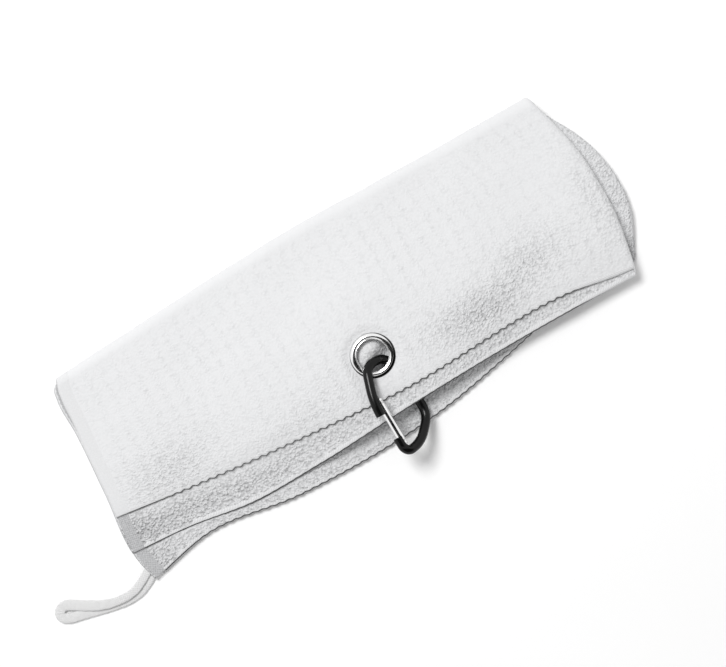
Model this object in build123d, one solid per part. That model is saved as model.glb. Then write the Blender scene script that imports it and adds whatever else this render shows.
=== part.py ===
from build123d import *
import os
from math import tan, radians, pi

# A golf towel, folded in four, with a metal eyelet through its two upper layers, a small
# snap hook (carabiner) in the eyelet and a hanging loop of tape at one corner.
#
# Frame: millimetres, +Z up. The origin is the centre of the folded towel's underside.
# +X runs along the folded towel, from the loop's end to the folded end. -Y is the front,
# where the open edges and the snap hook are; the lengthwise fold is at the back.

# ---------------------------------------------------------------- driving dimensions
LEFT_X = -156.0  # the stitched short ends of the towel
RIGHT_X = 154.0  # outside of the crosswise folds
BACK_Y = 59.0  # outside of the lengthwise fold
CLOTH = 1.7  # thickness of one layer of terry
LAYER_STEP = 2.3  # from one layer to the next where two lie together
GAP = 9.5  # height left between the lower and the upper pair by the snap hook
EYELET_XY = (0.0, -17.5)
HOLE_R = 8.6  # inside of the eyelet's barrel
FLANGE_R = 12.3
ROD_R = 2.6  # the snap hook is bent from round rod
HOOK_TILT = 38.0  # about the hook's long axis: gate side up, spine side down
HOOK_PITCH = 1.0  # front end down
LOOP_WIDTH = 4.6  # the loop's tape, laid as a round strand here

PAIR = CLOTH + LAYER_STEP
LOWER_Z = (0.0, LAYER_STEP)  # undersides of the bottom and the third layer
UPPER_Z = (PAIR + GAP, PAIR + GAP + LAYER_STEP)  # undersides of the second and the top layer
TOP_Z = UPPER_Z[1] + CLOTH
EYELET_Z = UPPER_Z[0] + PAIR / 2  # middle of the two pierced layers

# Front edges of the four layers in plan, from the left end to where the end folds start.
END_X = RIGHT_X - PAIR / 2
TOP_EDGE = [(LEFT_X, -22.5), (-54, -36), (1, -41), (109, -42), (END_X, -49)]
SECOND_EDGE = [(LEFT_X, -43), (-92, -53), (8, -50.5), (104, -50.5), (END_X, -53)]
THIRD_EDGE = [(LEFT_X, -59), (-122, -55), (-70, -62), (22, -60.5), (72, -51), (END_X, -46)]
BOTTOM_EDGE = [(LEFT_X, -59), (-120, -54), (-70, -59), (22, -58), (72, -49), (END_X, -45)]

LAYERS = {
    "top": (TOP_EDGE, UPPER_Z[1]),
    "second": (SECOND_EDGE, UPPER_Z[0]),
    "third": (THIRD_EDGE, LOWER_Z[1]),
    "bottom": (BOTTOM_EDGE, LOWER_Z[0]),
}


# ---------------------------------------------------------------- small helpers
def above_rest(shape):
    """The part of a shape above the surface that the towel lies on."""
    low, high = shape.bounding_box().min, shape.bounding_box().max
    room = Box(high.X - low.X + 2, high.Y - low.Y + 2, high.Z)
    return shape & Pos((low.X + high.X) / 2, (low.Y + high.Y) / 2, high.Z / 2) * room


def half_ring(outer_r, thickness):
    """Half of a flat ring about the origin, on the +X side of its plane."""
    ring = Circle(outer_r) - Circle(outer_r - thickness)
    return ring & Pos(outer_r, 0) * Rectangle(2 * outer_r, 2 * outer_r)


def front_strip(points, forward, width):
    """A strip in plan that follows a front edge, from just in front of it to behind it."""
    front = Pos(0, -forward) * Spline(*points)
    behind = Pos(0, width - forward) * Spline(*points)
    left = Line(front @ 0, behind @ 0)
    right = Line(front @ 1, behind @ 1)
    return make_face([front, right, behind, left])


# ---------------------------------------------------------------- cloth
back_fold_r = TOP_Z / 2
inner_fold_r = (UPPER_Z[0] + CLOTH - LOWER_Z[1]) / 2
end_fold_r = PAIR / 2
fold_start_y = BACK_Y - back_fold_r


def layer_slab(points, underside):
    """One layer of cloth, flat, from its front edge to where the folds start."""
    edge = Spline(*points)
    behind = Polyline(edge @ 1, (END_X, fold_start_y), (LEFT_X, fold_start_y), edge @ 0)
    return Pos(0, 0, underside) * extrude(make_face([edge, behind]), CLOTH)


def back_fold(outer_r):
    """The bend that joins a lower layer to an upper one along the back."""
    section = Plane(origin=(LEFT_X, fold_start_y, TOP_Z / 2), x_dir=(0, 1, 0), z_dir=(1, 0, 0))
    return extrude(section * half_ring(outer_r, CLOTH), END_X - LEFT_X)


def end_fold(underside, front_y):
    """The bend that joins the two layers of a pair at the folded end."""
    centre = (END_X, front_y, underside + end_fold_r)
    section = Plane(origin=centre, x_dir=(1, 0, 0), z_dir=(0, -1, 0))
    return extrude(section * half_ring(end_fold_r, CLOTH), -(fold_start_y - front_y))


def at_eyelet(shape):
    return Pos(EYELET_XY[0], EYELET_XY[1], EYELET_Z) * shape


SQUEEZED = 1.3  # the two layers squeezed between the eyelet's flange and washer
BARREL_WALL = 0.6
DENT_SLACK = 0.2  # between a flange's rim and the thicker cloth round it
cloth = layer_slab(*LAYERS["top"]) + layer_slab(*LAYERS["second"])
cloth += layer_slab(*LAYERS["third"]) + layer_slab(*LAYERS["bottom"])
cloth += back_fold(back_fold_r) + back_fold(inner_fold_r)
cloth += end_fold(UPPER_Z[0], TOP_EDGE[-1][1]) + end_fold(LOWER_Z[0], BOTTOM_EDGE[-1][1])
cloth -= at_eyelet(Cylinder(HOLE_R + BARREL_WALL, 2 * PAIR))
for side in (1, -1):
    dent = Pos(0, 0, side * (SQUEEZED / 2 + PAIR / 2)) * Cylinder(FLANGE_R + DENT_SLACK, PAIR)
    cloth -= at_eyelet(dent)

# ---------------------------------------------------------------- edge stitching and end bindings
THREAD = 0.2  # how far the stitching stands out from the cloth
THREAD_FRONT = 0.6  # how far it stands out at the edge itself
THREAD_WIDTH = 3.2
BINDING = 0.25
BINDING_WIDTH = 6.0
SEAM_GAP = 0.2  # between the stitching and the end binding


def overlock(points, underside):
    """The overlocked thread that wraps a layer's front edge."""
    wrap = extrude(front_strip(points, THREAD_FRONT, THREAD_WIDTH), CLOTH + 2 * THREAD)
    wrap = Pos(0, 0, underside - THREAD) * wrap
    span = Pos((END_X + LEFT_X + BINDING_WIDTH) / 2, 0, TOP_Z / 2)
    span *= Box(END_X - LEFT_X - BINDING_WIDTH - SEAM_GAP, 4 * BACK_Y, 3 * TOP_Z)
    return (wrap & span) - cloth


def end_binding(upper, lower, outer_r):
    """The smooth tape that binds a short end: round an upper layer, its back fold and a lower."""
    section = Sketch() + half_ring(outer_r + BINDING, CLOTH + 2 * BINDING)
    for points, underside in (upper, lower):
        length = fold_start_y - points[0][1]
        middle = underside + CLOTH / 2 - TOP_Z / 2
        section += Pos(-length / 2, middle) * Rectangle(length, CLOTH + 2 * BINDING)
    start = (LEFT_X - 2 * BINDING, fold_start_y, TOP_Z / 2)
    plane = Plane(origin=start, x_dir=(0, 1, 0), z_dir=(1, 0, 0))
    tape = extrude(plane * section, BINDING_WIDTH + 2 * BINDING)
    return above_rest(tape) - cloth


overlocks = {name: overlock(*layer) for name, layer in LAYERS.items()}
overlocks["bottom"] = above_rest(overlocks["bottom"])
binding_outer = end_binding(LAYERS["top"], LAYERS["bottom"], back_fold_r)
binding_inner = end_binding(LAYERS["second"], LAYERS["third"], inner_fold_r)

# ---------------------------------------------------------------- eyelet
SHEET = 0.4  # sheet metal thickness
RIM_R = 0.4  # the rolled rim round the hole
DOME = 0.95  # how far the flange's crown stands above its rim
OVERHANG = 0.1  # the barrel runs this far into its flange and its rolled rim
BARREL_SLACK = 0.05
flange_z = SQUEEZED / 2
barrel_r = HOLE_R + BARREL_WALL


def ring(inner_r, outer_r, low, high):
    section = Pos((inner_r + outer_r) / 2, (low + high) / 2)
    section *= Rectangle(outer_r - inner_r, high - low)
    return revolve(Plane.XZ * section, Axis.Z)


def rolled_rim(height):
    """A round bead on the barrel's end."""
    bead = Pos(HOLE_R + RIM_R, height) * Circle(RIM_R)
    return revolve(Plane.XZ * bead, Axis.Z)


def domed_flange():
    """The visible flange, crowned between its outer edge and the hole's rim."""
    outer = (FLANGE_R, flange_z)
    crown = ((FLANGE_R + HOLE_R) / 2, flange_z + DOME)
    inner = (HOLE_R, flange_z + SHEET)
    section = make_face([ThreePointArc(outer, crown, inner), Polyline(inner, (HOLE_R, flange_z), outer)])
    return revolve(Plane.XZ * section, Axis.Z)


flange = domed_flange()
barrel_low = -flange_z - SHEET - OVERHANG
flange += ring(HOLE_R, barrel_r - BARREL_SLACK, barrel_low, flange_z + OVERHANG)
flange += rolled_rim(flange_z + SHEET)
flange += rolled_rim(-flange_z - SHEET - RIM_R)
washer = ring(barrel_r, FLANGE_R, -flange_z - SHEET, -flange_z)
washer -= rolled_rim(-flange_z - SHEET - RIM_R)
eyelet_flange = at_eyelet(flange)
eyelet_washer = at_eyelet(washer)

# ---------------------------------------------------------------- snap hook, in its own plane
# Local X runs from the gate side to the spine, local -Y from the top bend to the bottom.
HOOK_PATH = [
    (-1, -29),  # below the hinge, outside the gate
    (-0.4, -20),
    (7, -ROD_R),  # top bend
    (22.5, -ROD_R),
    (27.5, -41),  # spine
    (13.5, -52.3),  # bottom bend
    (1.2, -52.8),
    (1.2, -43.5),  # nose
]
HOOK_RADII = [40, 8.4, 8.4, 12, 20, 4.4]
GATE_R = 2.2
GATE_X = 2.8
PIN_Y = -22.8  # hinge pin
TIP_Y = -48.4  # end of the gate
PIN_R = 0.8
TONGUE = 2.0  # thickness of the frame's tongue in the gate's fork
SLOT = TONGUE + 0.4
SLACK = 0.25  # clearance round the gate

# The middle of the top bend passes through the hole, a little in front of its centre.
BEND_MIDDLE_X = 14.9
BEND_FORWARD = 3.3
BEND_DROP = 0.4
hook_turn = Rotation(HOOK_PITCH, 0, 0) * Rotation(0, HOOK_TILT, 0)
bend_middle = hook_turn * Pos(BEND_MIDDLE_X, -ROD_R, 0)
in_hole = Vector(EYELET_XY[0], EYELET_XY[1] - BEND_FORWARD, EYELET_Z - BEND_DROP)
hook_place = Location(in_hole - bend_middle.position) * hook_turn

gate_mid_y = (PIN_Y + TIP_Y) / 2
along_gate = Rotation(90, 0, 0)


def gate_rod(radius, start_y, end_y):
    """A round bar along the gate's axis."""
    middle = Pos(GATE_X, (start_y + end_y) / 2, 0)
    return middle * along_gate * Cylinder(radius, abs(start_y - end_y))


rod_path = FilletPolyline(*HOOK_PATH, radius=HOOK_RADII)
rod_start = Plane(origin=rod_path @ 0, z_dir=rod_path % 0)
frame_body = sweep(rod_start * Circle(ROD_R), path=rod_path)

# Room for the gate: its rounded heel, its length, and its way inwards.
gate_room = Pos(GATE_X, PIN_Y, 0) * Cylinder(GATE_R + SLACK, 4 * ROD_R)
gate_room += gate_rod(GATE_R + SLACK, PIN_Y, TIP_Y - SLACK)
sweep_width = 12.0
gate_room += Pos(GATE_X + sweep_width / 2, gate_mid_y, 0) * Box(
    sweep_width, PIN_Y - TIP_Y + SLACK, 4 * ROD_R
)
frame_body -= gate_room

# Tongues that reach into the gate's forks at the hinge and at the nose.
HEEL_ROOT = (1.4, -20.4)  # middle of the tongue between the rod's end and the hinge pin
HEEL_SIZE = (3.4, 4.8)
NOSE_TONGUE = (0.6, -46.8)
NOSE_SIZE = (2.0, 4.0)
heel = Pos(GATE_X, PIN_Y) * Circle(GATE_R - 0.1) + Pos(*HEEL_ROOT) * Rectangle(*HEEL_SIZE)
frame_body += extrude(heel, TONGUE / 2, both=True)
frame_body += extrude(Pos(*NOSE_TONGUE) * Rectangle(*NOSE_SIZE), TONGUE / 2, both=True)
hinge_hole = Pos(GATE_X, PIN_Y, 0) * Cylinder(PIN_R, 4 * ROD_R)
frame_body -= hinge_hole

# The gate: a round bar with a fork at each end and a blind bore for the spring.
gate_body = gate_rod(GATE_R, PIN_Y, TIP_Y)
heel_end = Pos(GATE_X, PIN_Y, 0) * Cylinder(GATE_R, 2 * GATE_R)
gate_body += heel_end & gate_rod(GATE_R, PIN_Y + GATE_R, PIN_Y - GATE_R)
TIP_ROUND = 0.5
gate_body = fillet(gate_body.edges().filter_by(GeomType.CIRCLE).sort_by(Axis.Y)[0], TIP_ROUND)
SLOT_END_Y = -26.2
TIP_SLOT = 4.2  # depth of the fork at the gate's tip
BORE_R = 1.35
BORE_END_Y = -41.0
NOSE_PIN_Y = -46.2
NOSE_PIN_R = 0.6
FIT = 0.1  # radial and end clearance of the small parts in the bore
heel_slot = PIN_Y + GATE_R - SLOT_END_Y
gate_body -= Pos(GATE_X, SLOT_END_Y + heel_slot / 2, 0) * Box(3 * GATE_R, heel_slot, SLOT)
gate_body -= Pos(GATE_X - 1, TIP_Y + TIP_SLOT / 2, 0) * Box(3 * GATE_R, TIP_SLOT, SLOT)
gate_body -= gate_rod(BORE_R, SLOT_END_Y + FIT, BORE_END_Y)
gate_body -= Pos(GATE_X, PIN_Y, 0) * Cylinder(PIN_R + FIT / 2, 4 * ROD_R)
gate_body -= Pos(GATE_X, NOSE_PIN_Y, 0) * Cylinder(NOSE_PIN_R, 4 * ROD_R)
hinge_pin = Pos(GATE_X, PIN_Y, 0) * Cylinder(PIN_R, 2 * GATE_R + 2 * FIT)
nose_pin = Pos(GATE_X, NOSE_PIN_Y, 0) * Cylinder(NOSE_PIN_R, 2 * GATE_R - 4 * FIT)

# Inside the gate: a plunger that bears on the tongue, and the spring behind it.
PLUNGER_END_Y = -29.5
PLUNGER_R = 0.8
PLUNGER_HEAD = 1.2
WIRE_R = 0.2
COIL_PITCH = 1.2
plunger = gate_rod(PLUNGER_R, PIN_Y - GATE_R - FIT, PLUNGER_END_Y)
plunger += gate_rod(BORE_R - FIT, PLUNGER_END_Y + PLUNGER_HEAD, PLUNGER_END_Y)
COIL_LENGTH = abs(BORE_END_Y - PLUNGER_END_Y) - 2 * WIRE_R - 2 * FIT
coil = Helix(pitch=COIL_PITCH, height=COIL_LENGTH, radius=BORE_R - FIT - WIRE_R)
coil_start = Plane(origin=coil @ 0, z_dir=coil % 0)
spring = sweep(coil_start * Circle(WIRE_R), path=coil, is_frenet=True)
spring = Pos(GATE_X, PLUNGER_END_Y - FIT - WIRE_R, 0) * along_gate * spring

# ---------------------------------------------------------------- hanging loop
# One strand out along the rest, round the tip and back beside itself, sewn at both ends.
LOOP_ROUTE = [
    (-161.9, -54.6),
    (-169.9, -58.8),
    (-177.2, -61.2),
    (-186.6, -60.2),
    (-196.2, -57.4),
    (-204.7, -52.9),
    (-212.4, -48.6),
    (-215.8, -50.0),
    (-217.2, -53.3),
    (-215.8, -56.7),
    (-207.3, -59.5),
    (-197.8, -62.2),
    (-187.5, -65.0),
    (-176.8, -66.1),
    (-167.8, -63.4),
    (-161.9, -59.6),
]
LOOP_LIFT = 0.05
BEND_SHARE = 0.45  # of the shorter run at a corner that its bend takes up
loop_z = LOOP_WIDTH / 2 + LOOP_LIFT
route = [Vector(x, y, loop_z) for x, y in LOOP_ROUTE]
loop_radii = []
for before, corner, after in zip(route, route[1:], route[2:]):
    turn = (corner - before).get_angle(after - corner)
    shorter = min((corner - before).length, (after - corner).length)
    loop_radii.append(BEND_SHARE * shorter / tan(radians(turn / 2)))
print("loop bend radii, mm:", [round(radius, 1) for radius in loop_radii])
loop_path = FilletPolyline(*route, radius=loop_radii)
loop_start = Plane(origin=loop_path @ 0, z_dir=loop_path % 0)
loop = sweep(loop_start * Circle(LOOP_WIDTH / 2), path=loop_path)
expected = pi * (LOOP_WIDTH / 2) ** 2 * loop_path.length
print("loop length, mm:", round(loop_path.length, 1))
print("loop volume against its section times its length:", round(loop.volume / expected, 4))

# The tack that sews both ends of the loop to the towel's corner.
TACK_LEFT = -162.5
TACK_Y = -56.6  # its middle
TACK_WIDTH = 12.4
TACK_TOP = PAIR + 0.3
TACK_ROUND = 0.8
tack_right = LEFT_X - 2 * BINDING
tack = Box(tack_right - TACK_LEFT, TACK_WIDTH, TACK_TOP)
tack = Pos((tack_right + TACK_LEFT) / 2, TACK_Y, TACK_TOP / 2) * tack
tack = fillet(tack.edges().group_by(Axis.Z)[-1], TACK_ROUND)
loop -= tack

# ---------------------------------------------------------------- files
nodes = {
    "towel_cloth": cloth,
    "end_binding_outer": binding_outer,
    "end_binding_inner": binding_inner,
    "loop_tack": tack,
    "hanging_loop": loop,
    "eyelet_flange": eyelet_flange,
    "eyelet_washer": eyelet_washer,
    "hook_frame": hook_place * frame_body,
    "hook_gate": hook_place * gate_body,
    "gate_hinge_pin": hook_place * hinge_pin,
    "gate_nose_pin": hook_place * nose_pin,
    "gate_plunger": hook_place * plunger,
    "gate_spring": hook_place * spring,
}
for name, piece in overlocks.items():
    nodes["overlock_" + name + "_edge"] = piece

os.makedirs("parts", exist_ok=True)
for name, piece in nodes.items():
    export_step(piece, "parts/" + name + ".step")

pivot = hook_place * Pos(GATE_X, PIN_Y, 0)
normal = (hook_place * Pos(0, 0, 1)).position - hook_place.position
print("gate hinge at, mm:", pivot.position, "axis:", normal)
print("swivel axis at, mm:", EYELET_XY, "eyelet middle height:", EYELET_Z, "top:", TOP_Z)
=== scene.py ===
"""A golf towel folded in four, with a metal eyelet, a black snap hook and a hanging loop.

The CAD frame gives every place: +X runs along the folded towel to its folded end, -Y is the
front, where the four open edges lie, and +Z is up. Shapes below are written in millimetres and
become metres when a mesh is made.
"""

import math

import bpy
import numpy as np
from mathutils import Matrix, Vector


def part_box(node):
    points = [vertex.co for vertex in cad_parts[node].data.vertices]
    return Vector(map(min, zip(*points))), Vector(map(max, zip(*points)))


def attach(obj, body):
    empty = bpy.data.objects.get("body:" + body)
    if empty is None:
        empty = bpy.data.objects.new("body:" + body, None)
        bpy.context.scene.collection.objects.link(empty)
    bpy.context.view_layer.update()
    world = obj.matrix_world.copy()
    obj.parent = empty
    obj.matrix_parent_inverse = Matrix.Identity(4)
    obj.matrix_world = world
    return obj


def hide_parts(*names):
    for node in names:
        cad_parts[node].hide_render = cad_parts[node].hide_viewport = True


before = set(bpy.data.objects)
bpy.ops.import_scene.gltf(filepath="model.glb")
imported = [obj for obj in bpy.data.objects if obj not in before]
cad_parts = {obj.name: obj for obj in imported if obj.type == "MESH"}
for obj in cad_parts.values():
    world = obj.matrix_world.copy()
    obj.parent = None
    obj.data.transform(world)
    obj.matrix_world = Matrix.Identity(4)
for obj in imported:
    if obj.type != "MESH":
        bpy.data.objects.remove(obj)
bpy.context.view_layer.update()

MM = 0.001

# ------------------------------------------------------------------ sizes from the frame
flange_low, flange_high = (np.array(corner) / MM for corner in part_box("eyelet_flange"))
tack_low, tack_high = (np.array(corner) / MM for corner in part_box("loop_tack"))

FLANGE_R = (flange_high[0] - flange_low[0]) / 2
EYELET_X = (flange_high[0] + flange_low[0]) / 2
EYELET_Y = (flange_high[1] + flange_low[1]) / 2
EYELET_Z = (flange_high[2] + flange_low[2]) / 2
BARREL_R = 9.2  # outside of the barrel, which passes through the two upper layers

HALF_CLOTH = 0.78  # half of one layer's thickness
HALF_STEP = 1.15  # half of the step from one layer's middle to the next
CLINCHED_CLOTH = 0.28  # the same two measures where the eyelet squeezes the layers together
CLINCHED_STEP = 0.33
FLAT_LENGTH = 620.0  # the towel before it was folded
FLAT_WIDTH = 240.0
END_BAND = 7.0  # width of the tape on the short ends
FLOOR_GAP = 0.02  # the lowest that any cloth may lie


# ------------------------------------------------------------------ small helpers
def curve_through(*points):
    """A smooth line through points, as a function of their first coordinate."""
    xs, ys = np.array(points, float).T
    slopes = np.gradient(ys, xs)

    def line(x):
        x = np.clip(x, xs[0], xs[-1])
        i = np.clip(np.searchsorted(xs, x, side="right") - 1, 0, len(xs) - 2)
        step = xs[i + 1] - xs[i]
        t = (x - xs[i]) / step
        start = (1 + 2 * t) * (1 - t) ** 2 * ys[i] + t * (1 - t) ** 2 * step * slopes[i]
        end = t**2 * (3 - 2 * t) * ys[i + 1] - t**2 * (1 - t) * step * slopes[i + 1]
        return start + end

    return line


def smoothstep(low, high, value):
    """0 below low, 1 above high, and smooth between them."""
    t = np.clip((value - low) / (high - low), 0, 1)
    return t * t * (3 - 2 * t)


def unit(vectors):
    """The same directions with a length of 1."""
    return vectors / np.linalg.norm(vectors, axis=-1, keepdims=True)


def soft_noise(rng, shape, passes):
    """Random heights of about unit size, smoothed a number of times."""
    field = rng.standard_normal(shape)
    for _ in range(passes):
        for axis in (0, 1):
            field = (np.roll(field, 1, axis) + 2 * field + np.roll(field, -1, axis)) / 4
    return field / field.std()


def mesh_object(name, points_mm, faces, material, body="towel", smooth=True):
    """A mesh piece that rides on a body."""
    mesh = bpy.data.meshes.new(name)
    mesh.from_pydata((np.asarray(points_mm) * MM).tolist(), [], faces)
    mesh.validate()
    mesh.update()
    mesh.polygons.foreach_set("use_smooth", [smooth] * len(mesh.polygons))
    mesh.materials.append(material)
    obj = bpy.data.objects.new(name, mesh)
    bpy.context.collection.objects.link(obj)
    if body:
        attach(obj, body)
    return obj


def set_uv(obj, uv_of_vertex):
    """Gives each corner the flat place of its vertex, in metres, for weaves that follow the cloth."""
    mesh = obj.data
    corners = np.zeros(len(mesh.loops), np.int32)
    mesh.loops.foreach_get("vertex_index", corners)
    layer = mesh.uv_layers.new(name="flat")
    layer.data.foreach_set("uv", np.asarray(uv_of_vertex)[corners].ravel())


def set_relief(obj, values):
    """Tells the material how strongly the terry stands up at each vertex, and so how deep its painted
    shade is.
    """
    attribute = obj.data.attributes.new("relief", "FLOAT", "POINT")
    attribute.data.foreach_set("value", np.asarray(values, np.float32))


def tube_faces(rings, around):
    """Faces of a tube of rings, each with the same number of points, closed at both ends."""
    faces = []
    for i in range(rings - 1):
        for j in range(around):
            k = (j + 1) % around
            here, ahead = i * around, (i + 1) * around
            faces.append((here + j, here + k, ahead + k, ahead + j))
    faces.append(tuple(reversed(range(around))))
    faces.append(tuple((rings - 1) * around + j for j in range(around)))
    return faces


def grid_quads(rows, columns):
    """The four-sided faces of a grid of points."""
    index = np.arange(rows * columns).reshape(rows, columns)
    corners = [index[:-1, :-1], index[1:, :-1], index[1:, 1:], index[:-1, 1:]]
    return np.stack(corners, axis=-1).reshape(-1, 4)


def wall_faces(quads, count):
    """Faces that join the two sides of a sheet along every open edge."""
    starts = quads.ravel()
    ends = np.roll(quads, -1, axis=1).ravel()
    key = starts.astype(np.int64) * count + ends
    reverse = ends.astype(np.int64) * count + starts
    open_edge = ~np.isin(key, reverse)
    start, end = starts[open_edge], ends[open_edge]
    return np.stack([end, start, start + count, end + count], axis=-1)


def two_sided(quads, count):
    """Faces of a closed sheet: its upper side, its lower side and the wall round its edges.
    Each side has count points, the upper side's first."""
    return np.concatenate([quads, quads[:, ::-1] + count, wall_faces(quads, count)])


# ------------------------------------------------------------------ camera
def place_camera():
    """Almost straight above, turned so that the towel runs from lower left to upper right."""
    azimuth, elevation = math.radians(-30.6), math.radians(89.5)
    target = Vector((1.6, -4.6, 6)) * MM
    distance = 1.15
    seen_width = 392 * MM
    camera = bpy.data.cameras.new("camera")
    camera.sensor_width = 36
    camera.lens = camera.sensor_width * distance / seen_width
    obj = bpy.data.objects.new("camera", camera)
    bpy.context.collection.objects.link(obj)
    flat = math.cos(elevation)
    back = Vector((math.sin(azimuth) * flat, -math.cos(azimuth) * flat, math.sin(elevation)))
    obj.location = target + back * distance
    obj.rotation_mode = "QUATERNION"
    obj.rotation_quaternion = (-back).to_track_quat("-Z", "Y")
    bpy.context.scene.camera = obj


place_camera()


# ------------------------------------------------------------------ materials
class Nodes:
    """A material with one Principled shader, and short ways to add nodes to it."""

    def __init__(self, name, **sockets):
        self.material = bpy.data.materials.new(name)
        self.material.use_nodes = True
        self.tree = self.material.node_tree
        self.shader = self.tree.nodes["Principled BSDF"]
        for socket, value in sockets.items():
            self.shader.inputs[socket.replace("_", " ")].default_value = value

    def add(self, kind, **values):
        """A new node; each value goes to the socket of that name, or to the node's own setting."""
        node = self.tree.nodes.new("ShaderNode" + kind)
        for key, value in values.items():
            if key in node.inputs:
                node.inputs[key].default_value = value
            else:
                setattr(node, key, value)
        return node

    def link(self, source, target):
        """Joins an output to an input."""
        self.tree.links.new(source, target)

    def noise(self, coordinates, scale, detail=2.0, roughness=0.5):
        """Soft noise with about scale bumps in a metre."""
        node = self.add("TexNoise")
        node.inputs["Scale"].default_value = scale
        node.inputs["Detail"].default_value = detail
        node.inputs["Roughness"].default_value = roughness
        self.link(coordinates, node.inputs["Vector"])
        return node.outputs["Fac"]

    def ramp(self, value, low, high, low_at=0.3, high_at=0.7):
        """A colour that goes from low to high as value goes from low_at to high_at."""
        node = self.add("ValToRGB")
        node.color_ramp.elements[0].position = low_at
        node.color_ramp.elements[0].color = (*low, 1)
        node.color_ramp.elements[1].position = high_at
        node.color_ramp.elements[1].color = (*high, 1)
        self.link(value, node.inputs["Fac"])
        return node.outputs["Color"]

    def math(self, operation, a, b=None):
        """A sum or other operation on two values, each a socket or a number."""
        node = self.add("Math", operation=operation)
        for socket, value in zip(node.inputs, (a, b)):
            if isinstance(value, (int, float)):
                socket.default_value = value
            elif value is not None:
                self.link(value, socket)
        return node.outputs[0]

    def bump(self, height, distance, strength=1.0):
        """Fine relief on the shader: a height of 1 stands up by distance."""
        node = self.add("Bump")
        node.inputs["Strength"].default_value = strength
        node.inputs["Distance"].default_value = distance
        self.link(height, node.inputs["Height"])
        self.link(node.outputs["Normal"], self.shader.inputs["Normal"])


def grey(level, tint=0.0):
    """A grey that leans to blue by tint."""
    return (level - tint / 2, level - tint / 4, level + tint / 2)


def cloth_coordinates(nodes):
    """The flat place on the cloth, in metres."""
    return nodes.add("UVMap", uv_map="flat").outputs["UV"]


def object_coordinates(nodes):
    """The place in the part's own frame, in metres."""
    return nodes.add("TexCoord").outputs["Object"]


def terry_material():
    """White cotton terry: small uneven loops, with painted shade between them, deepest where they
    stand up most.
    """
    nodes = Nodes(
        "terry_cloth",
        Roughness=0.95,
        Sheen_Weight=0.2,
        Sheen_Roughness=0.6,
        Specular_IOR_Level=0.1,
    )
    flat = cloth_coordinates(nodes)
    relief = nodes.add("Attribute", attribute_name="relief").outputs["Fac"]
    loops = nodes.add("TexVoronoi", feature="SMOOTH_F1")
    loops.inputs["Scale"].default_value = 700
    loops.inputs["Smoothness"].default_value = 0.5
    loops.inputs["Randomness"].default_value = 1.0
    nodes.link(flat, loops.inputs["Vector"])
    fibres = nodes.noise(flat, 1300)
    tufts = nodes.noise(flat, 330)
    height = nodes.math("SUBTRACT", nodes.math("MULTIPLY", fibres, 0.5), loops.outputs["Distance"])
    height = nodes.math("ADD", height, nodes.math("MULTIPLY", tufts, 0.9))
    height = nodes.math("MULTIPLY", nodes.math("SUBTRACT", height, 0.3), relief)
    shade = nodes.math("ADD", height, 0.5)
    # Painted shade: the colour darkens in the hollows between loops, more where the relief is higher.
    colour = nodes.ramp(shade, grey(0.6, 0.01), grey(0.775, 0.012), 0.0, 0.5)
    nodes.link(colour, nodes.shader.inputs["Base Color"])
    nodes.bump(height, 0.95 * MM)
    return nodes.material


def thread_material():
    """Overlock thread: twisted strands laid side by side, with painted shade near black on the nose
    of the edge, for the shadow under it.
    The flat Y of an overlocked edge grows with the distance from its nose."""
    nodes = Nodes("edge_thread", Roughness=0.8, Sheen_Weight=0.15)
    flat = cloth_coordinates(nodes)
    strands = nodes.add("TexWave", wave_type="BANDS", bands_direction="DIAGONAL")
    strands.inputs["Scale"].default_value = 420
    strands.inputs["Distortion"].default_value = 1.5
    nodes.link(flat, strands.inputs["Vector"])
    fluff = nodes.noise(flat, 1800)
    height = nodes.math("ADD", strands.outputs["Fac"], nodes.math("MULTIPLY", fluff, 0.6))
    light = nodes.ramp(height, grey(0.63, 0.01), grey(0.76, 0.01), 0.2, 1.0)
    across = nodes.add("SeparateXYZ")
    nodes.link(flat, across.inputs["Vector"])
    off_nose = nodes.math("MULTIPLY", across.outputs["Y"], 0.5 / MM)
    # Painted shade: 0 on the nose of the edge, where the thread is made near black for the shadow
    # under the edge, and 1 off it.
    out_of_painted_shade = nodes.ramp(off_nose, grey(0), grey(1), 0.75, 1.0)
    mix = nodes.add("Mix", data_type="RGBA")
    nodes.link(out_of_painted_shade, mix.inputs["Factor"])
    # Painted shade: the colour of the nose.
    mix.inputs[6].default_value = (*grey(0.05), 1)
    nodes.link(light, mix.inputs[7])
    nodes.link(mix.outputs[2], nodes.shader.inputs["Base Color"])
    nodes.bump(height, 0.12 * MM, 0.7)
    return nodes.material


def tape_material(name, low, high, threads_per_metre, depth=0.15):
    """Woven tape: a fine plain weave with small changes of shade, and relief of depth mm."""
    nodes = Nodes(name, Roughness=0.85, Sheen_Weight=0.15)
    flat = cloth_coordinates(nodes)
    separate = nodes.add("SeparateXYZ")
    nodes.link(flat, separate.inputs["Vector"])
    turns = 2 * math.pi * threads_per_metre
    along = nodes.math("SINE", nodes.math("MULTIPLY", separate.outputs["X"], turns))
    across = nodes.math("SINE", nodes.math("MULTIPLY", separate.outputs["Y"], turns))
    weave = nodes.math("MULTIPLY", along, across)
    fluff = nodes.noise(flat, 900, 3.0, 0.6)
    height = nodes.math("ADD", nodes.math("MULTIPLY", weave, 0.25), fluff)
    colour = nodes.ramp(height, low, high, 0.25, 0.85)
    nodes.link(colour, nodes.shader.inputs["Base Color"])
    nodes.bump(height, depth * MM, 0.6)
    return nodes.material


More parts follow.
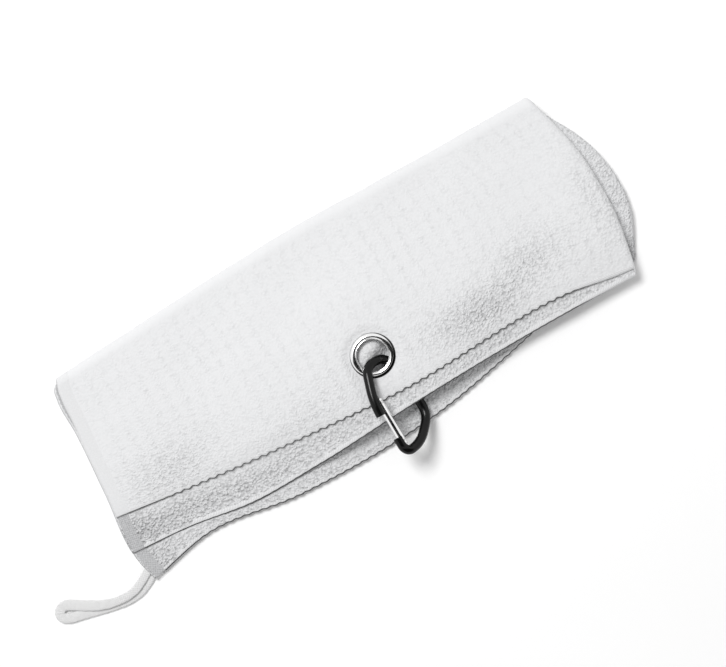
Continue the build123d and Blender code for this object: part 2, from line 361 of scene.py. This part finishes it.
def metal_material(name, low, high, roughness, scratch_scale, rim=None, **sockets):
    """Metal with slight changes of colour and gloss from handling. low and high are its darkest
    and lightest colours, roughness its least and greatest, and rim the radius of a dark band of
    painted shade and painted dark reflection."""
    nodes = Nodes(name, **sockets)
    place = object_coordinates(nodes)
    smudges = nodes.noise(place, 140, 3.0, 0.6)
    colour = nodes.ramp(smudges, low, high)
    if rim:
        colour = paint_rim_shade(nodes, colour, rim)
    nodes.link(colour, nodes.shader.inputs["Base Color"])
    gloss = nodes.add("MapRange")
    gloss.inputs["To Min"].default_value, gloss.inputs["To Max"].default_value = roughness
    nodes.link(smudges, gloss.inputs["Value"])
    nodes.link(gloss.outputs["Result"], nodes.shader.inputs["Roughness"])
    scratches = nodes.noise(place, scratch_scale, 4.0, 0.7)
    nodes.bump(scratches, 0.02 * MM, 0.25)
    return nodes.material


TERRY = terry_material()
THREAD = thread_material()
BINDING = tape_material("binding_tape", grey(0.70, 0.01), grey(0.785, 0.01), 1100)
# Darker than the outer tape: painted shade for the left ends of the two inner layers, which slope
# away from the light.
INNER_BINDING_PAINTED_SHADE = tape_material(
    "inner_binding_tape_painted_shade", grey(0.38, 0.01), grey(0.62, 0.01), 700, depth=0.5
)
LOOP_TAPE = tape_material("loop_tape", grey(0.62), grey(0.80), 700)


# ------------------------------------------------------------------ hanging loop
LOOP_THICK = 1.6
# The tape's middle, from the corner to the tip and back under itself.
LOOP_ROUTE = [
    (-161.9, -54.6, 2.6),
    (-169.5, -59.2, 2.8),
    (-177.2, -62.3, 2.9),
    (-186.8, -61.8, 2.9),
    (-196.2, -58.8, 2.8),
    (-204.4, -53.8, 2.2),
    (-211.6, -49.0, 1.5),
    (-215.8, -49.8, 1.3),
    (-217.4, -53.0, 1.2),
    (-215.2, -56.2, 1.2),
    (-206.2, -58.3, 1.1),
    (-197.2, -60.8, 1.0),
    (-187.2, -63.7, 1.0),
    (-176.6, -65.0, 1.0),
    (-167.8, -62.4, 1.0),
    (-161.9, -58.2, 1.1),
]
# The tape lies flatter and wider towards the tip.
loop_width = curve_through((-218, 5.6), (-206, 5.8), (-198, 5.6), (-188, 4.8), (-160, 4.4))


def spline_points(route_m, resolution):
    """Points along the smooth line that a route's points control."""
    curve = bpy.data.curves.new("route", "CURVE")
    curve.dimensions = "3D"
    spline = curve.splines.new("NURBS")
    spline.points.add(len(route_m) - 1)
    for point, place in zip(spline.points, route_m):
        point.co = (*place, 1)
    spline.order_u = 3
    spline.use_endpoint_u = True
    spline.resolution_u = resolution
    holder = bpy.data.objects.new("route", curve)
    bpy.context.collection.objects.link(holder)
    bpy.context.view_layer.update()
    mesh = bpy.data.meshes.new_from_object(holder)
    points = np.array([v.co for v in mesh.vertices])
    bpy.data.objects.remove(holder)
    bpy.data.meshes.remove(mesh)
    return points


def make_loop():
    """Flat tape that leaves the corner, turns at the tip and comes back under itself."""
    route = [(x * MM, y * MM, z * MM) for x, y, z in LOOP_ROUTE]
    line = spline_points(route, 12)
    middle = line / MM
    ahead = unit(np.gradient(middle, axis=0))
    side = unit(np.cross(ahead, (0, 0, 1)))
    up = np.cross(side, ahead)
    travelled = np.concatenate([[0], np.cumsum(np.linalg.norm(np.diff(middle, axis=0), axis=1))])
    around = 16
    fluff = 0.09 * soft_noise(np.random.default_rng(5), (len(middle), around), 1)
    points, flat = [], []
    for centre, across, above, gone, bumps in zip(middle, side, up, travelled, fluff):
        half_width = float(loop_width(centre[0])) / 2
        for k in range(around):
            turn = 2 * math.pi * k / around
            sideways = math.copysign(abs(math.cos(turn)) ** 0.5, math.cos(turn)) * half_width
            height = math.copysign(abs(math.sin(turn)) ** 0.8, math.sin(turn)) * LOOP_THICK / 2
            fluffed = across * sideways * (1 + bumps[k] / 4) + above * height * (1 + bumps[k])
            points.append(centre + fluffed)
            flat.append((gone * MM, sideways * MM))
    loop = mesh_object("loop_tape", points, tube_faces(len(middle), around), LOOP_TAPE)
    set_uv(loop, flat)
    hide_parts("hanging_loop")
    return loop


make_loop()


# ------------------------------------------------------------------ the folded towel's surface
# Front edges of the four layers, and the two ends, in plan.
top_front = curve_through(
    (-165, -22), (-132, -26.7), (-54, -35.9), (1, -41), (109, -42), (142, -47.8), (160, -49)
)
second_front = curve_through(
    (-165, -43.5), (-132, -46.5), (-96, -52.5), (-54, -53), (9, -50.5), (104, -50.5), (160, -52.5)
)
third_front = curve_through(
    (-165, -62.5), (-150, -58.8), (-128, -54.8), (-72, -62),
    (25, -60.8), (60, -54.8), (90, -49), (160, -47),
)
bottom_front = curve_through(
    (-165, -59), (-128, -53.5), (-72, -60.5), (25, -59), (60, -53), (90, -47), (160, -46)
)
back_line = curve_through((-165, 58.5), (-95, 61.5), (-20, 64), (70, 62), (150, 60))
# The ends are functions of Y, from the front to the back.
left_end = curve_through(
    (-66, -161), (-50, -165), (-8, -162), (28, -159), (48, -158.5),
    (54, -157), (58, -154), (61, -149), (64, -142),
)
right_upper = curve_through((-53, 144), (-39, 145.5), (-2, 149), (23, 148), (45, 144), (64, 139.5))
right_lower = curve_through(
    (-53, 144), (-36, 151.5), (-16, 158.5), (4, 159.5),
    (16, 157.5), (28, 153.5), (46, 145), (64, 139.5),
)

# Height of the middle of the upper pair: along the eyelet's line, at the back, and how far it
# falls from that line to the front.
ridge = curve_through(
    (-165, 8), (-90, 11.5), (-35, 15), (0, 15.5), (40, 15.2), (100, 13.5), (160, 11.5)
)
back_height = curve_through((-165, 7.6), (0, 9.5), (160, 9.5))
front_fall = curve_through(
    (-165, 3.6), (-100, 6.0), (-62, 7.2), (-30, 4.0), (-8, 2.2),
    (30, 2.1), (58, 4.6), (110, 3.0), (160, 1.0),
)
LOWER_Z = HALF_STEP + HALF_CLOTH + 0.15

# Shares of the cloth's width: the upper layers end and the lower layers begin at the back fold.
BEND_START = 0.443
BEND_END = 0.497
# Shares of the cloth's length that turn at the folded end.
TURN_START = 0.493
TURN_END = 0.507

PILLOW_R = 12.5  # the swelling of the third layer into the eyelet's hole
PILLOW_LOW = 3.0  # its height under the snap hook's rod, and how much more behind the rod
PILLOW_MORE = 7.4
FOLD_PUFF = 1.3  # how far the folded end swells

SCALLOP_PITCH = 5.0  # along a front edge
SCALLOP_DEPTH = 0.48
SQUARE_LENGTH = 8.5  # the faint squares woven into the terry
SQUARE_WIDTH = 8.8
PEBBLE_HEIGHT = 0.11  # relief of the pile that is real shape, not only bump
WRINKLE_HEIGHT = 0.10
SQUARE_HEIGHT = 0.15


def scallop(x):
    """The waves that the overlock thread pulls into a front edge."""
    waved = smoothstep(-140, -120, x) * (1 - smoothstep(100, 118, x))
    return SCALLOP_DEPTH * waved * np.sin(2 * np.pi * x / SCALLOP_PITCH)


def upper_height(x, y):
    """Middle of the upper pair of layers, level where the eyelet is clinched."""
    back_share = smoothstep(EYELET_Y, 66, y)
    height = ridge(x) + (back_height(x) - ridge(x)) * back_share
    height = height - front_fall(x) * smoothstep(-22, -56, y)
    waves = 0.35 * np.sin(x / 21 + y / 34) + 0.25 * np.sin(x / 11 - y / 17 + 1.3)
    far = smoothstep(FLANGE_R + 1, FLANGE_R + 40, np.hypot(x - EYELET_X, y - EYELET_Y))
    return EYELET_Z + (height + waves - EYELET_Z) * far


def pillow(x, y):
    """How far the third layer swells up into the eyelet's hole: most behind the snap hook's rod,
    and least under it, where it swings."""
    dx, dy = x - EYELET_X, y - EYELET_Y
    behind_rod = 0.8 * dy - 0.6 * dx
    rise = PILLOW_LOW + PILLOW_MORE * smoothstep(-6.0, 3.5, behind_rod)
    return rise * np.exp(-((np.hypot(dx, dy) / PILLOW_R) ** 4))


def lower_height(x, y):
    """Middle of the lower pair, which lies on the floor and swells towards its right end."""
    swell = np.exp(-(((x - 138) / 16) ** 2)) * smoothstep(-45, -5, y) * (1 - smoothstep(25, 55, y))
    lift = 1.2 * smoothstep(110, 150, x) * smoothstep(-60, 0, y)
    return LOWER_Z + lift + 3.2 * swell + pillow(x, y) / 2


def pair_surface(u, b, outer):
    """Middle of a pair of layers. u runs from the left end to the folded end, b across the cloth,
    and outer is 1 for the layer on the outside of both folds and 0 for the one inside."""
    upper_b = b < (BEND_START + BEND_END) / 2
    run_upper = np.clip(b / BEND_START, -1, 1)
    run_lower = np.clip((1 - b) / (1 - BEND_END), -1, 1)
    run = np.where(upper_b, run_upper, run_lower)
    turn = np.clip((b - BEND_START) / (BEND_END - BEND_START), 0, 1) * np.pi
    in_bend = (b > BEND_START) & (b < BEND_END)
    upper_share = (1 + np.cos(turn)) / 2
    y = np.where(upper_b, -45, -58) * (1 - run) + 55 * run
    for _ in range(3):
        right = right_upper(y) * upper_share + right_lower(y) * (1 - upper_share)
        inset = (0.6 + (0.2 + 1.9 * smoothstep(15, 45, y)) * upper_share) * outer * (1 - u)
        left = left_end(y) + inset
        x = left + u * (right - left)
        top = top_front(x) * outer + second_front(x) * (1 - outer)
        low = bottom_front(x) * outer + third_front(x) * (1 - outer)
        waviness = np.where(upper_b, 0.15 + 0.85 * outer, 0.5)
        front = np.where(upper_b, top, low) + scallop(x) * waviness
        bulge = (upper_height(x, back_line(x) - 7) - lower_height(x, back_line(x) - 7)) / 2
        bend_y = back_line(x) - bulge - HALF_STEP - HALF_CLOTH
        y = np.where(in_bend, bend_y + bulge * np.sin(turn), front + run * (bend_y - front))
    z_upper, z_lower = upper_height(x, y), lower_height(x, y)
    middle_z = (z_upper + z_lower) / 2
    z_bend = middle_z + (z_upper - z_lower) / 2 * np.cos(turn)
    z = np.where(in_bend, z_bend, np.where(upper_b, z_upper, z_lower))
    return np.stack([x, y, z], axis=-1)


def eyelet_squeeze(points, b):
    """1 where the eyelet squeezes the two upper layers together, falling to 0 round it."""
    distance = np.hypot(points[..., 0] - EYELET_X, points[..., 1] - EYELET_Y)
    return (1 - smoothstep(FLANGE_R + 0.3, FLANGE_R + 4.5, distance)) * (b < BEND_START)


def half_thickness(a, b):
    """Half of one layer's thickness, thinner where the edges are sewn."""
    at_front = np.clip(np.exp(-np.minimum(b, 1 - b) * FLAT_WIDTH / 3.0), 0, 1)
    at_end = np.clip(np.exp(-np.minimum(a, 1 - a) * FLAT_LENGTH / 3.0), 0, 1)
    return HALF_CLOTH - 0.28 * at_front - 0.2 * at_end * (1 - at_front)


def towel_surface(a, b):
    """Middle of the cloth at a share a of its length and b of its width, and its outward normal."""
    turn = np.clip((a - TURN_START) / (TURN_END - TURN_START), 0, 1) * np.pi
    outer = (1 + np.cos(turn)) / 2
    u = np.where(a < 0.5, np.minimum(a / TURN_START, 1), np.minimum((1 - a) / (1 - TURN_END), 1))
    step = 1e-3
    middle = pair_surface(u, b, outer)
    along = unit(pair_surface(u + step, b, outer) - pair_surface(u - step, b, outer))
    across = pair_surface(u, b + step, outer) - pair_surface(u, b - step, outer)
    normal = unit(np.cross(along, across))
    puff = smoothstep(0.86, 1.0, u) * (1 - 0.75 * np.exp(-(((b - 0.47) / 0.09) ** 2)))
    puff = puff * smoothstep(0.0, 0.12, b) * smoothstep(1.0, 0.88, b)
    squeeze = eyelet_squeeze(middle, b)
    near_front = np.exp(-np.clip(np.minimum(b, 1 - b), 0, 1) * FLAT_WIDTH / 4.0)
    offset = HALF_STEP + FOLD_PUFF * puff - 0.5 * near_front
    offset = offset + (CLINCHED_STEP - offset) * squeeze
    outward = np.cos(turn)[..., None] * normal + np.sin(turn)[..., None] * along
    place = middle + offset[..., None] * outward
    lift = pillow(middle[..., 0], middle[..., 1]) / 2 * (b > BEND_END)
    place[..., 2] += lift * np.sign(outward[..., 2])
    return place, outward, squeeze


# ------------------------------------------------------------------ cloth
def make_cloth():
    """One sheet, folded twice, with a hole through its two upper layers under the eyelet."""
    count_a, count_b = 500, 200
    a, b = np.meshgrid(np.linspace(0, 1, count_a), np.linspace(0, 1, count_b), indexing="ij")
    middle, outward, squeeze = towel_surface(a, b)
    rng = np.random.default_rng(11)
    pebbles = [
        0.6 * soft_noise(rng, a.shape, passes=0) + 0.7 * soft_noise(rng, a.shape, passes=1)
        for _ in range(2)
    ]
    wrinkles = soft_noise(rng, a.shape, 40)
    relief = terry_relief_and_painted_shade(middle, a, b)
    squares = SQUARE_HEIGHT * (woven_squares(a, b) - 0.28)
    from_end = np.minimum(a, 1 - a) * FLAT_LENGTH
    sewn = np.clip(np.exp(-np.minimum(b, 1 - b) * FLAT_WIDTH / 2.0), 0, 1)
    sewn = np.maximum(sewn, 1 - smoothstep(END_BAND, END_BAND + 4, from_end))
    sides = []
    for sign, pebble in zip((1, -1), pebbles):
        pile = PEBBLE_HEIGHT * relief * pebble + WRINKLE_HEIGHT * wrinkles * sign + squares
        pile = pile * (1 - sewn)
        half = half_thickness(a, b) + pile
        half = half + (CLINCHED_CLOTH - half) * squeeze
        side = middle + (sign * half)[..., None] * outward
        side[..., 2] = np.maximum(side[..., 2], FLOOR_GAP)
        sides.append(side.reshape(-1, 3))
    count = count_a * count_b
    quads = grid_quads(count_a, count_b)
    from_eyelet = np.hypot(middle[..., 0] - EYELET_X, middle[..., 1] - EYELET_Y)
    in_hole = ((from_eyelet < BARREL_R + 0.3) & (b < BEND_START)).ravel()
    quads = quads[~in_hole[quads].any(axis=1)]
    faces = two_sided(quads, count)
    points = np.concatenate(sides)
    flat = np.stack([a * FLAT_LENGTH, b * FLAT_WIDTH], axis=-1).reshape(-1, 2) * MM
    used = np.unique(faces)
    renumber = np.full(2 * count, -1)
    renumber[used] = np.arange(len(used))
    cloth = mesh_object("towel_terry", points[used], renumber[faces].tolist(), TERRY)
    set_uv(cloth, np.concatenate([flat, flat])[used])
    set_relief(cloth, np.concatenate([relief.ravel(), relief.ravel()])[used])
    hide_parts("towel_cloth")
    return cloth


# Patches where the loops stand up more and the colour is darker, partly painted shade for broad
# dents: how much, the centre, and the size in X and Y.
ROUGH_PATCHES_WITH_PAINTED_SHADE = [
    (1.15, (60, -26), (28, 11)),
    (0.6, (-124, -16), (28, 15)),
    (0.6, (100, -15), (20, 12)),
    (0.3, (-45, -28), (28, 10)),
    (0.5, (146, -5), (8, 28)),
]


def patch(points, centre, size):
    """A soft-edged patch in plan: 1 at its centre."""
    x = (points[..., 0] - centre[0]) / size[0]
    y = (points[..., 1] - centre[1]) / size[1]
    return np.exp(-(x**2) - y**2)


def woven_squares(a, b):
    """The faint squares woven into the terry: 1 on their ridges and 0 in their middles."""
    x, y = a * FLAT_LENGTH, b * FLAT_WIDTH
    wander = 0.9 * np.sin(x / 37 + y / 19) + 0.6 * np.sin(x / 13 - y / 9)
    along = 0.5 + 0.5 * np.cos(2 * np.pi * (x + wander) / SQUARE_LENGTH)
    across = 0.5 + 0.5 * np.cos(2 * np.pi * (y + wander) / SQUARE_WIDTH)
    fading = 0.75 + 0.3 * np.sin(x / 23 + 1.7) * np.sin(y / 15)
    return (0.66 * along**2 + 0.34 * across**2) * fading


def terry_relief_and_painted_shade(points, a, b):
    """How strongly the loops stand up, which also sets how deep their painted shade is: least at the
    back, most in patches along the front and on the strips of the second, third and lowest layers
    that show there, where the darker colour is painted shade for the layers above them."""
    relief = 0.24 + 0.05 * smoothstep(20, -20, points[..., 1])
    for strength, centre, size in ROUGH_PATCHES_WITH_PAINTED_SHADE:
        relief = relief + strength * patch(points, centre, size)
    relief = relief + 0.3 * patch(points, (EYELET_X, EYELET_Y), (9, 9)) * (b > BEND_END)
    # The strips, the inner corner and the folded end get more relief partly to darken them as painted
    # shade, for the layers above them and for slopes that turn from the light.
    inner = a > 0.5
    upper_strip = inner * smoothstep(0.09, 0.04, b) * smoothstep(0.0, 0.008, b)
    lower_strip = inner * smoothstep(0.91, 0.96, b)
    to_the_left = smoothstep(-60, -150, points[..., 0])
    relief = relief + upper_strip * (0.9 + 0.5 * to_the_left) + 0.9 * lower_strip
    inner_corner = smoothstep(26, 8, (1 - a) * FLAT_LENGTH)
    relief = relief + 0.7 * inner_corner * smoothstep(0.25, 0.12, np.minimum(b, 1 - b))
    relief = relief + 0.30 * (woven_squares(a, b) - 0.3)
    folded_end = smoothstep(0.035, 0.01, np.abs(a - 0.5)) * (b > BEND_END)
    hem = smoothstep(3, 12, a * FLAT_LENGTH)
    before_bend = smoothstep(BEND_START - 0.02, BEND_START + 0.01, b)
    in_bend = before_bend * smoothstep(BEND_END + 0.02, BEND_END, b)
    return (relief + 0.6 * folded_end) * (0.3 + 0.7 * hem) * (1 - 0.9 * in_bend)


cloth = make_cloth()


# ------------------------------------------------------------------ stitched edges
STITCH_STEP = 0.55  # between two rings of points along an edge
WRAP_PROUD = 0.05  # how far thread and tape stand off the cloth


def wrap_profile(width, front):
    """Section of a wrap round the cloth's edge, width deep and standing out by front: distance
    in from the edge, and share of the half thickness above or below the middle."""
    upper = [
        (width + 1.2, 0.7),
        (width, 0.98),
        (width * 0.6, 1.0),
        (width * 0.25, 1.0),
        (0.0, 0.85),
    ]
    lower = [(inwards, -share) for inwards, share in reversed(upper)]
    return upper + [(-front * 0.75, 0.5), (-front, 0.0), (-front * 0.75, -0.5)] + lower


def wrap_edge(name, edge, start, end, profile, pitch, relief, slant, material):
    """A closed strip that wraps one edge of the cloth from a share start to a share end of its
    length. Its stitches are pitch apart, relief high, and slanted by slant as they go inwards."""
    long_edge = edge in ("front_upper", "front_lower")
    length = FLAT_LENGTH if long_edge else FLAT_WIDTH
    steps = int((end - start) * length / STITCH_STEP)
    along = np.linspace(start, end, steps)[:, None]
    inwards = np.array([p[0] for p in profile])[None, :]
    shares = np.array([p[1] for p in profile])[None, :]
    if long_edge:
        share = inwards / FLAT_WIDTH
        a = along + 0 * share
        b = share + 0 * along if edge == "front_upper" else 1 - share + 0 * along
    else:
        share = inwards / FLAT_LENGTH
        b = along + 0 * share
        a = share + 0 * along if edge == "end_outer" else 1 - share + 0 * along
    middle, outward, _ = towel_surface(a, b)
    travelled = along * length
    rib = np.abs(np.sin(np.pi * (travelled + slant * inwards) / pitch)) - 0.6
    half = half_thickness(a, b) + WRAP_PROUD + relief * rib
    points = middle + (shares * half)[..., None] * outward
    points[..., 2] = np.maximum(points[..., 2], FLOOR_GAP)
    around = len(profile)
    faces = tube_faces(steps, around)
    strip = mesh_object(name, points.reshape(-1, 3), faces, material)
    off_nose = np.abs(shares) * 2 + inwards + 0 * travelled
    if long_edge:  # the painted shade on the nose fades out at the folded end
        off_nose = off_nose + 2.5 * (1 - smoothstep(10, 45, np.abs(travelled - length / 2)))
    flat = np.stack([travelled + 0 * inwards, off_nose], axis=-1)
    set_uv(strip, flat.reshape(-1, 2) * MM)
    return strip


overlock_profile = wrap_profile(width=1.3, front=0.65)
binding_profile = wrap_profile(width=END_BAND, front=0.4)
BAND_SHARE = END_BAND / FLAT_LENGTH


def overlock(name, edge):
    """Slanted stitches round a long edge, between the two end bindings."""
    return wrap_edge(
        name, edge, BAND_SHARE, 1 - BAND_SHARE, overlock_profile,
        pitch=1.3, relief=0.03, slant=0.6, material=THREAD,
    )


def binding(name, edge, material):
    """Smooth tape round a short end."""
    return wrap_edge(
        name, edge, 0, 1, binding_profile,
        pitch=3.0, relief=0.02, slant=0.0, material=material,
    )


overlock_upper = overlock("overlock_upper_edges", "front_upper")
overlock_lower = overlock("overlock_lower_edges", "front_lower")
binding_outer = binding("binding_outer", "end_outer", BINDING)
# The inner end's tape carries painted shade.
binding_inner = binding("binding_inner", "end_inner", INNER_BINDING_PAINTED_SHADE)
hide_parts("overlock_top_edge", "overlock_second_edge")
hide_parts("overlock_third_edge", "overlock_bottom_edge")
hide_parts("end_binding_outer")
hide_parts("end_binding_inner")


# ------------------------------------------------------------------ loop tack
def make_tack():
    """A dense patch of thread that sews both ends of the loop to the corner."""
    low, high = tack_low, tack_high
    underside = 0.1
    rib_height = 0.12
    count_x, count_y = 14, 60
    x, y = np.meshgrid(np.linspace(-1, 1, count_x), np.linspace(-1, 1, count_y), indexing="ij")
    crown = (1 - x**4) * (1 - y**6)
    ribs = rib_height * np.abs(np.sin(y * 14 + x * 1.5)) * crown
    middle = (low + high) / 2
    half = (high - low) / 2 * 0.8
    count = count_x * count_y
    sides = []
    top = low[2] + (high[2] - low[2]) * (0.2 + 0.4 * crown) + ribs
    for height in (top, np.full_like(top, underside)):
        side = np.stack([middle[0] + half[0] * x, middle[1] + half[1] * y, height], axis=-1)
        sides.append(side.reshape(-1, 3))
    faces = two_sided(grid_quads(count_x, count_y), count)
    points = np.concatenate(sides)
    tack = mesh_object("loop_stitching", points, faces.tolist(), LOOP_TAPE)
    set_uv(tack, points[:, :2] * MM)
    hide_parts("loop_tack")
    return tack


tack = make_tack()


# ------------------------------------------------------------------ metal parts
def finish_metal(material, *names):
    """Gives CAD nodes a finish."""
    for name in names:
        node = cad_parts[name]
        for index in range(len(node.material_slots)):
            node.material_slots[index].material = material
        if not node.material_slots:
            node.data.materials.append(material)


def paint_rim_shade(nodes, colour, radius):
    """Painted shade and painted dark reflection at the flange's outer edge: the colour goes near
    black there, widest at the front right.
    """
    # The band's centre moves back and left, so the painted dark band is widest at the front right.
    off_centre = (-0.35, 0.75)
    centre = ((EYELET_X + off_centre[0]) * MM, (EYELET_Y + off_centre[1]) * MM, 0)
    place = nodes.add("VectorMath", operation="SUBTRACT")
    nodes.link(object_coordinates(nodes), place.inputs[0])
    place.inputs[1].default_value = centre
    flatten = nodes.add("VectorMath", operation="MULTIPLY")
    nodes.link(place.outputs[0], flatten.inputs[0])
    flatten.inputs[1].default_value = (1 / (radius * MM), 1 / (radius * MM), 0)
    out = nodes.add("VectorMath", operation="LENGTH")
    nodes.link(flatten.outputs[0], out.inputs[0])
    # Painted shade and dark reflection: near black over the outermost part of the radius.
    rim = nodes.ramp(out.outputs["Value"], grey(1), grey(0.03), 0.92, 0.955)
    mix = nodes.add("Mix", data_type="RGBA", blend_type="MULTIPLY")
    mix.inputs["Factor"].default_value = 1
    nodes.link(colour, mix.inputs[6])
    nodes.link(rim, mix.inputs[7])
    return mix.outputs[2]


# The eyelet's flange gets a painted dark band of shade and reflection round its outer edge.
NICKEL = metal_material(
    "nickel_plate", grey(0.72), grey(0.86), (0.06, 0.16), 900, rim=FLANGE_R, Metallic=1.0
)
BLACK = metal_material(
    "black_anodised", grey(0.002), grey(0.005), (0.14, 0.22), 1200, Specular_IOR_Level=0.2
)
GATE = metal_material("polished_gate", grey(0.78), grey(0.9), (0.08, 0.16), 1400, Metallic=1.0)
STEEL = metal_material("steel_pin", grey(0.5), grey(0.68), (0.2, 0.35), 1400, Metallic=1.0)
WIRE = metal_material("spring_wire", grey(0.42), grey(0.58), (0.25, 0.4), 1400, Metallic=1.0)

finish_metal(NICKEL, "eyelet_flange", "eyelet_washer")
finish_metal(BLACK, "hook_frame")
finish_metal(GATE, "hook_gate")
finish_metal(STEEL, "gate_hinge_pin", "gate_nose_pin", "gate_plunger")
finish_metal(WIRE, "gate_spring")


# ------------------------------------------------------------------ floor and light
def floor_material():
    """Plain pale paper."""
    nodes = Nodes("pale_floor", Roughness=0.9)
    faint = nodes.noise(object_coordinates(nodes), 8, 3.0)
    colour = nodes.ramp(faint, grey(0.985), grey(0.995))
    nodes.link(colour, nodes.shader.inputs["Base Color"])
    return nodes.material


def make_floor():
    """A flat floor, wide enough to fill every view."""
    half = 3000
    corners = [(-half, -half, 0), (half, -half, 0), (half, half, 0), (-half, half, 0)]
    floor = mesh_object("floor", corners, [(0, 1, 2, 3)], floor_material(), body=None, smooth=False)


def soft_light(name, azimuth, elevation, distance, size, power, shines_in_metal):
    """A square soft light that looks at the towel, with its size and distance in metres."""
    light = bpy.data.lights.new(name, "AREA")
    light.size = size
    light.energy = power
    obj = bpy.data.objects.new(name, light)
    obj.visible_glossy = shines_in_metal
    bpy.context.collection.objects.link(obj)
    a, e = math.radians(azimuth), math.radians(elevation)
    away = Vector((math.sin(a) * math.cos(e), -math.cos(a) * math.cos(e), math.sin(e)))
    obj.location = away * distance
    obj.rotation_mode = "QUATERNION"
    obj.rotation_quaternion = away.to_track_quat("Z", "Y")


def soft_world(level, reflected_level):
    """An even white room; polished metal sees it brighter than the cloth is lit by it."""
    world = bpy.data.worlds.new("studio")
    world.use_nodes = True
    tree = world.node_tree
    background = tree.nodes["Background"]
    background.inputs["Color"].default_value = (*grey(1.0), 1)
    rays = tree.nodes.new("ShaderNodeLightPath")
    strength = tree.nodes.new("ShaderNodeMapRange")
    strength.inputs["To Min"].default_value = level
    strength.inputs["To Max"].default_value = reflected_level
    tree.links.new(rays.outputs["Is Glossy Ray"], strength.inputs["Value"])
    tree.links.new(strength.outputs["Result"], background.inputs["Strength"])
    bpy.context.scene.world = world


def dark_card(name, material, left, right, front, back):
    """A dark card over the towel, seen only as a dark band in the polished metal."""
    height = 800
    plan = [(left, front), (right, front), (right, back), (left, back)]
    corners = [(x, y, height) for x, y in plan]
    card = mesh_object(name, corners, [(0, 1, 2, 3)], material, body=None, smooth=False)
    card.visible_camera = False
    card.visible_diffuse = False
    card.visible_shadow = False
    card.visible_transmission = False


def make_cards():
    """One card overhead and a larger one over the front."""
    nodes = Nodes("dark_card", Roughness=1.0)
    nodes.shader.inputs["Base Color"].default_value = (*grey(0.01), 1)
    dark_card("card_overhead", nodes.material, left=-600, right=600, front=-260, back=100)
    dark_card("card_front", nodes.material, left=-900, right=3000, front=-4000, back=-520)


make_floor()
make_cards()
soft_world(level=0.44, reflected_level=1.1)
soft_light("key", azimuth=198, elevation=60, distance=2.2, size=0.8, power=34, shines_in_metal=True)
soft_light("fill", azimuth=10, elevation=40, distance=2.2, size=1.8, power=4, shines_in_metal=False)
bpy.context.scene.view_settings.view_transform = "Standard"
